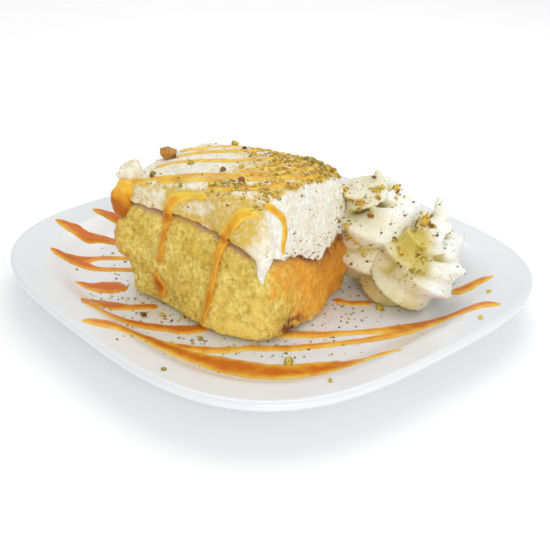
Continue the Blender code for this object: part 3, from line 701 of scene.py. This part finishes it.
SIDE_RUN = ((-29.5, 58, 2.4), (-26, 55.8, 3.2), (-23.3, 53.6, 3.4), (-21.2, 51, 3.4), (-20.5, 48, 3.2),
            (-20.8, 45, 3.4), (-22.2, 42.4, 3), (-23.7, 40, 2.6), (-24, 37, 1.6))
drizzle = poured("caramel_lines", TOP_LINES, from_above, on_slice, LINE_THICK, caramel)
runs_down = poured("caramel_runs", FACE_RUNS, at_face, on_slice, RUN_THICK, caramel, bridge=3)
z = to_slice(points_of(runs_down))[:, 2]
gathered = 0.55 * bump(z, 41.5, 3.5) + 0.35 * smooth((39 - z) / 4) - 0.15 * smooth((z - 48) / 4)
store(runs_down, "gathered", gathered)
side_run = poured("caramel_side_run", (SIDE_RUN,), at_right_side, on_slice, SIDE_RUN_THICK, caramel, bridge=2)

# at the left corner it has gathered into one fat drop, which hangs from the cream
corner_drop = new_piece("caramel_corner_drop", *ball(DROP_PLACE, DROP_RADII, 0.6), caramel)
neck = new_piece("neck", *ball(DROP_NECK_PLACE, DROP_NECK_RADII, 0.5), caramel)
join_into(corner_drop, (neck,))
melt(corner_drop, 0.5, 4)
a, b, z = to_slice(points_of(corner_drop)).T
store(corner_drop, "depth", 0.25 + 0.4 * smooth((49 - z) / 6))
store(corner_drop, "gathered", 0.7 * smooth((49 - z - 0.9 * (a + 41)) / 8))
for piece in (drizzle, runs_down, side_run, corner_drop):
    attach(piece, "root")


def nearness(obj, pieces, reach):
    """1 where the object touches the sauce, fading to 0 over a few times reach."""
    sauce = surface(*pieces)
    far = 6.0
    gaps = [sauce.find_nearest(Vector(p), far)[3] for p in points_of(obj)]
    return np.exp(-(np.array([far if gap is None else gap for gap in gaps]) / reach) ** 2)


# the cream beside it turns yellow, the crumb amber
beside_sauce = nearness(topping, (drizzle, runs_down, corner_drop), 1.5)
store(topping, "tint", np.clip(cream_tint + 0.6 * beside_sauce, 0, 1))
in_crumb = to_slice(points_of(sponge))
under_drop = spot(in_crumb, (-43.5, -32, 24), (4.5, 6, 9))
uneven = smooth(0.75 + 0.7 * grain(in_crumb, 3.5, 71, 2))
beside_runs = nearness(sponge, (runs_down, corner_drop), 1.3) * uneven
store(sponge, "soaked", np.clip(0.9 * beside_runs + 0.75 * under_drop, 0, 0.9))


# ---- Piped rosettes ----
# Three rosettes of the same whipped cream, piped through a star nozzle in a coil that narrows to a peak.
# The nozzle leaves rounded ribs with sharp valleys, which lean over as the bag is turned and lifted.
# Their valleys are painted darker and olive yellow, as painted shade.
STAINED_COLUMN = (61, 28, 37)
SWEEP_TURN = math.radians(47)


def along_sweep(along, across):
    """Plate coordinates of a place along and across the sweep of the drizzle."""
    c, s = math.cos(SWEEP_TURN), math.sin(SWEEP_TURN)
    return np.array((along * c - across * s, along * s + across * c))


def piped(turns, tube, reach, height, hold, twist, start, ribs, rib_depth, seat):
    """Rings of a ribbed rope coiled on itself from seat upwards, narrowing to a peak; foot at height 0."""
    rings = []
    stations = int(turns * 60)
    for k in range(stations + 1):
        t = k / stations
        angle = start + math.tau * turns * t
        closing = max(0.0, (t - hold) / (1 - hold))
        out = reach * (1 - smooth(closing))
        rise = seat + (height - seat) * (0.62 * t + 0.38 * t ** 3)
        thick = tube * (1 - 0.88 * smooth(closing) ** 1.8)
        across = np.array((math.cos(angle), math.sin(angle), 0))
        centre = across * out + (0, 0, rise)
        lift = smooth((t - 0.6) / 0.4)
        along = np.array((-math.sin(angle), math.cos(angle), 0)) * (1 - lift) + (0, 0, lift)
        along /= np.linalg.norm(along)
        up = np.cross(across, along)
        turn = np.linspace(0, math.tau, ribs * 16, endpoint=False)
        crest = 1 - np.abs(np.sin(ribs * (turn + twist * t) / 2)) ** 0.9
        radius = thick * (1 - rib_depth + 2 * rib_depth * crest)
        rings.append(centre + (across * np.cos(turn)[:, None] + up * np.sin(turn)[:, None]) * radius[:, None])
    return rings


piped_cream = cream_finish("whipped_cream_piped", "#F6F7EC", "#FEFFFB", "#BFA93E", "#D1BD56", 0.05, 0.34)
# for each: place, lean, where its untinted outer side starts, and piped()'s sizes
ROSETTES = {
    "rosette_front": ((62.8, -15), (3, 0), 60, (2.3, 11.0, 10.5, 42.5, 0.5, 17.0, 1.6, 5, 0.2, 5.8)),
    "rosette_tall": ((47.5, 0), (-3, -8), 42, (3.0, 10.5, 9.0, 57, 0.76, 13.0, 0.4, 4, 0.16, 8.4)),
    "rosette_back": ((76.5, 13), (0, 0), 70, (1.9, 8.5, 6.2, 38, 0.45, 9.0, 3.6, 4, 0.18, 6.0)),
}
rosettes = []
for name, (place, lean, outer, size) in ROSETTES.items():
    points, faces = [], []
    add_part(points, faces, *skin(piped(*size)))
    reach, height = size[2:4]
    turn = np.linspace(0, math.tau, 32, endpoint=False)
    core = [np.stack((r * np.cos(turn), r * np.sin(turn), np.full(32, z)), 1)
            for r, z in ((reach * 1.05, 0.0), (reach * 0.26, height * 0.62))]
    add_part(points, faces, *skin(core))
    points = np.array(points)
    share = np.maximum(0, points[:, 2] / height)[:, None]
    points[:, :2] += along_sweep(*lean) * share
    points[:, 2] = np.maximum(points[:, 2], 0.05)
    points += (*along_sweep(*place), WELL_HEIGHT + 0.1)
    rosette = new_piece(name + "_piped", points, faces, piped_cream)
    melt(rosette, 0.65, 4)
    # fold_shade: painted shade in the rosettes' valleys
    store(rosette, "fold_shade", creases(rosette, 120, 1.0))
    points = points_of(rosette)
    foot = 1 - smooth((points[:, 2] - WELL_HEIGHT) / 16)
    # nut oil and milk ran down in a column between them; towards the slice and the foot the tint is partly
    # nut dust and partly painted shade; the side away from the slice stays white
    column = spot(points, STAINED_COLUMN, (9, 9, 12))
    inner = 1 - smooth((0.68 * points[:, 0] + 0.735 * points[:, 1] - outer) / 12)
    tinted = (0.45 + 0.45 * foot) * inner + 0.17 * grain(points, 11, 5, 2) + 0.9 * column
    store(rosette, "tint", np.clip(tinted, 0, 1))
    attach(rosette, "root")
    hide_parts(name)
    rosettes.append(rosette)


# ---- Caramel on the plate ----
# The same sauce, thrown across the plate in sweeps from a spoon before the slice was set down. On the cold
# glaze it spreads thinner than on cream, pale at its edges, and pools deep orange towards the front.
STROKE_THICK = 1.0
STROKES = {
    "sauce_far": [((-92, 46, 1.5), (-85, 44, 6), (-70, 43, 6.5), (-40, 47, 5), (-5, 49, 4), (28, 50, 1.5))],
    "sauce_left_high": [((-107, 30, 1.5), (-99, 26, 8), (-91, 23.5, 7.5), (-82, 27, 5.5), (-60, 28, 5),
                         (-40, 27, 4))],
    "sauce_left_mid": [((-103, 2, 1.5), (-97, 0.5, 7), (-89, 4.5, 6), (-80, 9.5, 4), (-52, 11, 4)),
                       ((-97, 0, 5), (-88, 0.5, 6.5), (-79, -2, 4), (-58, -1, 4))],
    "sauce_left_low": [((-87, -20, 1.5), (-79, -20, 9), (-70, -19.5, 11), (-63.5, -20.5, 5))],
    "sauce_front_left": [((-78, -46, 4), (-72, -37, 8), (-60, -37, 5), (-48, -35, 4.5)),
                         ((-78, -46, 4), (-62, -50, 5.5), (-45, -53, 5.5), (-33, -54, 7), (-24, -50, 6))],
    "sauce_pool": [((-74, -67, 1.5), (-66, -66, 8), (-49, -66, 10), (-32, -74, 9), (-14, -80.8, 13),
                    (5, -84, 13.5), (24, -80, 13), (38, -76.8, 8), (53, -76, 1.5)),
                   ((-47, -65, 4), (-33, -68, 5), (-20, -69, 5), (-6, -66, 4))],
    "sauce_front_right": [((99, -37, 2), (90, -36, 8), (76, -39, 8.5), (62, -44, 8), (42, -49, 4.2),
                           (22, -53, 5), (10, -54, 6), (3, -55.5, 4.5)),
                          ((64, -45, 7), (48, -53, 4.2), (28, -60, 4), (8, -65, 4.5), (-9, -66, 4))],
    "sauce_right": [((102, -7, 1.5), (95, -7, 7), (88, -9, 7.5), (83.5, -12, 5))],
    "sauce_corner": [((29, -22, 4), (36, -24.5, 4.5), (46, -23.5, 4))],
}
plate_sauce = caramel_finish("caramel_on_glaze", "#F4CF62", "#EBAC3C", "#D06F20")
on_plate = surface(plate)
sweep_axes = ((0, 0, 0), (*along_sweep(1, 0), 0), (*along_sweep(0, 1), 0), (0, 0, -1))
for name, lines in STROKES.items():
    stroke = poured(name + "_film", lines, sweep_axes, on_plate, STROKE_THICK, plate_sauce)
    darker = 0.0 if name == "sauce_pool" else 0.08 if "right" in name else 0.3
    store(stroke, "gathered", np.full(len(stroke.data.vertices), darker))
    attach(stroke, "root")
    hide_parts(name)


# ---- Chopped pistachio ----
# Pistachio kernels and toasted nut, chopped from dust to bits of 4 mm and strewn by hand. Broken kernels are
# yellow green inside, with scraps of brown and violet skin. They lie thick at the right of the top, in clumps
# on the rosettes, and stray over the plate.
chip_shapes = bpy.data.collections.new("chip_shapes")
rng = random.Random(11)


def chip_points(corners):
    """A broken bit of nut, 1 long: the hull of a few corners drawn from a flattened ball."""
    shape = bmesh.new()
    for _ in range(corners):
        way = Vector([rng.gauss(0, 1) for _ in range(3)]).normalized() * rng.uniform(0.42, 0.56)
        shape.verts.new((way.x, way.y * 0.76, way.z * 0.64))
    hull = bmesh.ops.convex_hull(shape, input=shape.verts)
    spare = [v for v in hull["geom_interior"] if isinstance(v, bmesh.types.BMVert)]
    bmesh.ops.delete(shape, geom=spare, context="VERTS")
    shape.verts.index_update()
    points = [tuple(v.co) for v in shape.verts]
    faces = [tuple(v.index for v in face.verts) for face in shape.faces]
    shape.free()
    return points, faces


for number in range(8):
    points, faces = chip_points(11)
    mesh = bpy.data.meshes.new("chip")
    mesh.from_pydata(points, [], faces)
    chip_shapes.objects.link(bpy.data.objects.new(f"chip_{number}", mesh))


def nut_finish(name, colours, roughness):
    """Chopped nut: a bit takes one of three colours from cells of 3 mm, mottled by grain of 0.8 mm."""
    made, add, shader, at = new_finish(name)
    cells = add("TexVoronoi", {"Vector": at, "Scale": 0.33})
    pick = add("SeparateColor", {0: cells.outputs["Color"]})
    shade = add("ValToRGB", {0: pick}, stops=tuple(zip((0, 0.5, 1), colours)))
    mottle = add("TexNoise", {"Vector": at, "Scale": 1.3, "Detail": 3.0})
    darker = add("MapRange", {0: mottle, 1: 0.3, 2: 0.62, 3: 0.62, 4: 1.1})
    toned = add("Mix", {0: 1.0, 6: shade, 7: darker}, data_type="RGBA", blend_type="MULTIPLY")
    relief = add("Bump", {"Height": mottle, "Strength": 0.4, "Distance": 0.0003})
    plug(shader, {"Base Color": toned, "Normal": relief, "Roughness": roughness, "IOR": 1.47})
    return made


def strewing_tree(finish):
    """Geometry Nodes that strew chips over a surface, as dense as its 'strewn' attribute says."""
    tree = bpy.data.node_groups.new("strewing", "GeometryNodeTree")
    add = partial(add_node, tree)
    for name, kind in (("Surface", "Geometry"), ("Chips", "Collection"), ("Most per m2", "Float"),
                       ("Smallest", "Float"), ("Largest", "Float"), ("Seed", "Int")):
        tree.interface.new_socket(name, in_out="INPUT", socket_type="NodeSocket" + kind)
    tree.interface.new_socket("Chopped", in_out="OUTPUT", socket_type="NodeSocketGeometry")
    given = add("NodeGroupInput").outputs
    weight = add("GeometryNodeInputNamedAttribute", {"Name": "strewn"}, data_type="FLOAT")
    dense = add("Math", {0: weight, 1: given["Most per m2"]}, operation="MULTIPLY")
    spots = add("GeometryNodeDistributePointsOnFaces", {"Mesh": given["Surface"], "Density": dense,
                                                        "Seed": given["Seed"]})
    chips = add("GeometryNodeCollectionInfo", {"Collection": given["Chips"], "Separate Children": True})
    tilt = add("FunctionNodeRandomValue", {0: (-0.5, -0.5, 0.0), 1: (0.5, 0.5, math.tau),
                                           "Seed": given["Seed"]}, data_type="FLOAT_VECTOR")
    chance = add("FunctionNodeRandomValue", {2: 0.0, 3: 1.0, "Seed": given["Seed"]}, data_type="FLOAT")
    skewed = add("Math", {0: chance, 1: 1.8}, operation="POWER")
    size = add("MapRange", {0: skewed, 3: given["Smallest"], 4: given["Largest"]})
    placed = add("GeometryNodeInstanceOnPoints", {"Points": spots, "Instance": chips, "Pick Instance": True,
                                                  "Rotation": tilt, "Scale": size})
    real = add("GeometryNodeRealizeInstances", {0: placed})
    painted = add("GeometryNodeSetMaterial", {"Geometry": real, "Material": finish})
    add("NodeGroupOutput", {0: painted})
    return tree


def strewn_over(name, sources, finish, per_cm2, smallest, largest, seed):
    """A piece of chips strewn over (object, weights) pairs; weights run from 0 to 1 on its points."""
    objects, weights = zip(*sources)
    piece = bpy.data.objects.new(name, bpy.data.meshes.new(name))
    join_meshes(objects, piece.data)
    bpy.context.scene.collection.objects.link(piece)
    store(piece, "strewn", np.concatenate(weights))
    strew = piece.modifiers.new("strew", "NODES")
    strew.node_group = strewing_tree(finish)
    values = {"Chips": chip_shapes, "Most per m2": per_cm2 * 1e4, "Smallest": smallest * MM,
              "Largest": largest * MM, "Seed": seed}
    for item in strew.node_group.interface.items_tree:
        if item.name in values:
            strew[item.identifier] = values[item.name]
    keep_result(piece)
    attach(piece, "root")


local = to_slice(points_of(topping))
a, b, z = local.T
up = normals_of(topping)[:, 2]
clumps = smooth(0.5 + 1.3 * grain(local, 6, 70))
to_right = smooth((a + 0.8 * b + 14) / 44)
near_edge = bump(b, -29, 5) * smooth((a + 40) / 10)
along_edge = bump(b, -29 + 0.018 * a ** 2, 5.5) * smooth((a + 2) / 10)
strewn_top = 0.05 + 0.95 * to_right ** 1.5 + 0.22 * near_edge + 0.75 * along_edge
on_top = smooth((up - 0.55 + 0.15 * to_right) / 0.3) * strewn_top * (0.3 + 0.7 * clumps)
on_sides = 0.015 * (1 - smooth((up - 0.2) / 0.3)) * (z > 38)
slice_weight = np.clip(on_top + on_sides, 0, 1)
cream_weights = [(topping, slice_weight)]
heaped = [(topping, slice_weight ** 1.5 * (on_top > 0.12))]
# on the rosettes: place on the plate in millimetres, size and kind of the large piece, and how far the
# small chips heap round it, 0 where they don't; the last is a heap with no large piece
ON_ROSETTES = (
    (36.1, 18.3, 51.9, 4.6, 2, 3.6), (41.3, 19, 47.9, 3.2, 1, 2.5), (35, 11.1, 43, 3.2, 2, 3.5),
    (40.3, 21.9, 58.9, 3.8, 0, 4), (41.4, 25.6, 59.8, 2.8, 2, 3), (40.6, 36.1, 56.6, 4.2, 2, 4.5),
    (36.3, 25, 62.9, 2.4, 1, 0), (57.5, 36.7, 46.1, 5, 2, 4.6), (60.3, 38.2, 45.3, 3.2, 1, 3),
    (66, 34.8, 43.6, 2, 1, 0), (58.9, 20.7, 36.9, 3.4, 2, 3.2), (52.4, 23.2, 40.3, 2.4, 1, 2.4),
    (37, 12.8, 38, 2.4, 0, 3.4), (65, 25.7, 39.2, 3.6, 0, 3.5), (65.9, 28, 34.6, 2.8, 0, 2.6),
    (64.7, 22.9, 30.4, 2.8, 0, 2.6), (41.2, 16.8, 29.8, 1.8, 0, 2), (43.7, 17.1, 27.7, 1.6, 1, 0),
    (49.8, 23.3, 46, 1.8, 0, 0), (51.6, 29.9, 49.1, 1.8, 1, 0), (68.3, 20.8, 25.4, 1.6, 0, 0),
    (29.6, 17.6, 52.3, 3, 2, 3.4), (26.4, 18, 55.8, 3, 2, 2.6), (30.3, 11.4, 50.3, 2.6, 0, 3),
    (32.1, 9, 44.9, 2.6, 2, 3), (20.9, 12.2, 64.7, 4.4, 0, 0), (20, 5.5, 66.8, 4.2, 2, 0),
    (40.1, 15.5, 35.1, 0, 0, 3))
for rosette in rosettes:
    points = points_of(rosette)
    clump = sum(spot(points, nut[:3], nut[5]) for nut in ON_ROSETTES if nut[5])
    stray = 0.05 * smooth((points[:, 2] - WELL_HEIGHT - 4) / 8)
    cream_weights.append((rosette, np.clip(0.4 * clump + stray, 0, 1)))
    heaped.append((rosette, 0.45 * np.clip(clump, 0, 1) ** 2))
points = points_of(plate)
from_slice = np.hypot(*(points[:, :2] - (2, -24)).T)
faces_up = normals_of(plate)[:, 2] > 0.4
cream_weights.append((plate, 0.2 * (1 - smooth((from_slice - 40) / 40)) * faces_up))

pistachio = nut_finish("chopped_pistachio", ("#8F8028", "#C2A838", "#E0C850"), 0.55)
nut_skin = nut_finish("pistachio_skin", ("#6E4826", "#9C642E", "#54402C"), 0.6)
toasted = nut_finish("toasted_nut", ("#D8A838", "#E8C650", "#9E6E2A"), 0.5)
roasted = nut_finish("roasted_nut", ("#B87430", "#CB8F3C", "#7E5A26"), 0.5)
strewn_over("pistachio_bits", cream_weights, pistachio, 40, 0.5, 2.4, 1)
strewn_over("pistachio_skins", cream_weights, nut_skin, 14, 0.4, 2.0, 2)
strewn_over("pistachio_pieces", heaped, pistachio, 14, 1.4, 3.6, 4)
strewn_over("toasted_bits", heaped, toasted, 52, 1.3, 3.8, 3)

# crumbs of the crust cling to the cream's ragged hem, and lie at the foot of the slice
edge_height = sponge_top(np.clip(a, -HALF_A, HALF_A), np.clip(b, -HALF_B, HALF_B))
on_hem = right_side * np.exp(-np.maximum(0, z - edge_height + 1) / 2.2)
outside = np.abs(to_slice(points)[:, :2]) - (HALF_A, HALF_B + 4)
at_foot = np.exp(-np.abs(outside.max(1)) / 3)
crust = nut_finish("crust_crumbs", ("#8A6440", "#BC8A52", "#6E5340"), 0.8)
crust_weights = [(topping, np.clip(1.6 * on_hem, 0, 1)), (plate, 0.15 * at_foot * faces_up)]
strewn_over("crust_bits", crust_weights, crust, 90, 0.5, 1.9, 5)

# the pieces large enough to name: place on the slice, or along and across the plate, and size
LARGE_ON_SLICE = (
    (-38.5, -2, 10, 3), (-24, 29, 4.5, 0), (19, 25.6, 5.2, 0), (22.4, 25, 5.4, 0), (25.8, 26.4, 4.6, 2),
    (28.6, 27, 4.4, 2), (15, 28, 4, 0), (24, 22, 4, 1), (-2, -12, 3.4, 1), (13, -20, 3.8, 1), (3, -26, 4, 0),
    (-29, -25, 3, 1), (-14, 22, 3, 1), (-20, -10, 3.4, 0), (7, -24, 3.4, 0), (26, 20, 4, 0),
    (-31, -22, 3.5, 0), (20, -20, 3.2, 0))
LARGE_ON_PLATE = (
    (9, -76.5, 5.5, 0), (49, -29, 4.5, 0), (-53, -43.5, 3.5, 1), (-45, -43, 3, 0), (-27, -61, 3, 0),
    (24, -101, 2.5, 0), (-37, -99, 2.5, 0), (88, -50, 3, 0), (97, -22, 2.5, 0), (-36, -44, 2.4, 0))
large = [([], []) for _ in range(4)]


def drop(hit, size, kind):
    """Lay one large chip on a surface at the place that was hit."""
    shape_points, shape_faces = chip_points(26)
    turn = Matrix.Rotation(rng.uniform(0, math.tau), 3, "Z") @ Matrix.Rotation(rng.uniform(-0.4, 0.4), 3, "X")
    placed = [tuple(hit + Vector((0, 0, size * 0.2)) + turn @ Vector(p) * size) for p in shape_points]
    add_part(*large[kind], placed, shape_faces)


def from_over(base, x, y):
    """Where something let go 200 mm up lands."""
    return base.ray_cast(Vector((x, y, 200)), Vector((0, 0, -1)))[0]


for a, b, size, kind in LARGE_ON_SLICE:
    drop(from_over(on_slice, *to_plate((a, b, 0))[:2]), size, kind)
for along, across, size, kind in LARGE_ON_PLATE:
    drop(from_over(on_plate, *along_sweep(along, across)), size, kind)
heap = surface(topping, *rosettes)
for x, y, z, size, kind, _ in ON_ROSETTES:
    if size:
        drop(heap.find_nearest(Vector((x, y, z)))[0], size, kind)
for name, kind, finish in (("pistachio_halves", 0, pistachio), ("nuts_in_skin", 1, nut_skin),
                           ("nuts_toasted", 2, toasted), ("nut_roasted", 3, roasted)):
    piece = new_piece(name, *large[kind], finish)
    piece.data.shade_flat()
    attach(piece, "root")


# ---- Table and studio ----
# An opal table lit a little from below, a broad soft light overhead and pale walls all round, so that the
# only dark is the soft shadow close under the rim. The camera looks at the corner between +X and -Y.
TABLE_HALF = 3000
LAMPS_AIM = Vector((0, 0, 0.03))
CAMERA_AIM = Vector((0, 0, 0.02))
CAMERA_DISTANCE = 4 * PLATE_HALF * MM

opal = bpy.data.materials.new("opal_acrylic")
opal.use_nodes = True
plug(opal.node_tree.nodes["Principled BSDF"], {"Base Color": "#F4F4F4", "Roughness": 0.9,
                                               "Emission Color": (1, 1, 1, 1), "Emission Strength": 0.12})
corners = [(TABLE_HALF * x, TABLE_HALF * y, -0.1) for x, y in ((-1, -1), (1, -1), (1, 1), (-1, 1))]
floor = new_piece("table", corners, [(0, 1, 2, 3)], opal)

world = bpy.data.worlds.new("studio")
world.use_nodes = True
plug(world.node_tree.nodes["Background"], {"Color": (1, 1, 1, 1), "Strength": 0.68})
bpy.context.scene.world = world


def soft_light(name, place, size, power):
    lamp = bpy.data.lights.new(name, "AREA")
    lamp.shape = "DISK"
    lamp.size = size
    lamp.energy = power
    holder = bpy.data.objects.new(name, lamp)
    bpy.context.scene.collection.objects.link(holder)
    holder.location = place
    holder.rotation_euler = (LAMPS_AIM - Vector(place)).to_track_quat("-Z", "Y").to_euler()


soft_light("overhead", (-0.25, 0.35, 0.95), 0.9, 3.5)
soft_light("front_fill", (0.98, -0.5, 0.42), 0.7, 4.1)

# where the camera stands, with the small turn, tilt and roll that the photo shows
PHOTO_WIDTH = 550
FOCAL_PIXELS = 907.2
elevation, azimuth = math.radians(25.69), math.radians(47.33)
level, rise = math.cos(elevation), math.sin(elevation)
back = Vector((math.sin(azimuth) * level, -math.cos(azimuth) * level, rise))
right = Vector((math.cos(azimuth), math.sin(azimuth), 0))
facing = Matrix((right, back.cross(right), back)).transposed()
for degrees, axis in ((-0.29, "Y"), (-1.34, "X"), (2.35, "Z")):
    facing = facing @ Matrix.Rotation(math.radians(degrees), 3, axis)
camera = bpy.data.objects.new("camera", bpy.data.cameras.new("camera"))
camera.data.sensor_width = 36
camera.data.lens = FOCAL_PIXELS / PHOTO_WIDTH * camera.data.sensor_width
camera.data.clip_start = 0.01
pose = facing.to_4x4()
pose.translation = back * CAMERA_DISTANCE + CAMERA_AIM
camera.matrix_world = pose
bpy.context.scene.collection.objects.link(camera)
bpy.context.scene.camera = camera
bpy.context.scene.view_settings.view_transform = "Standard"
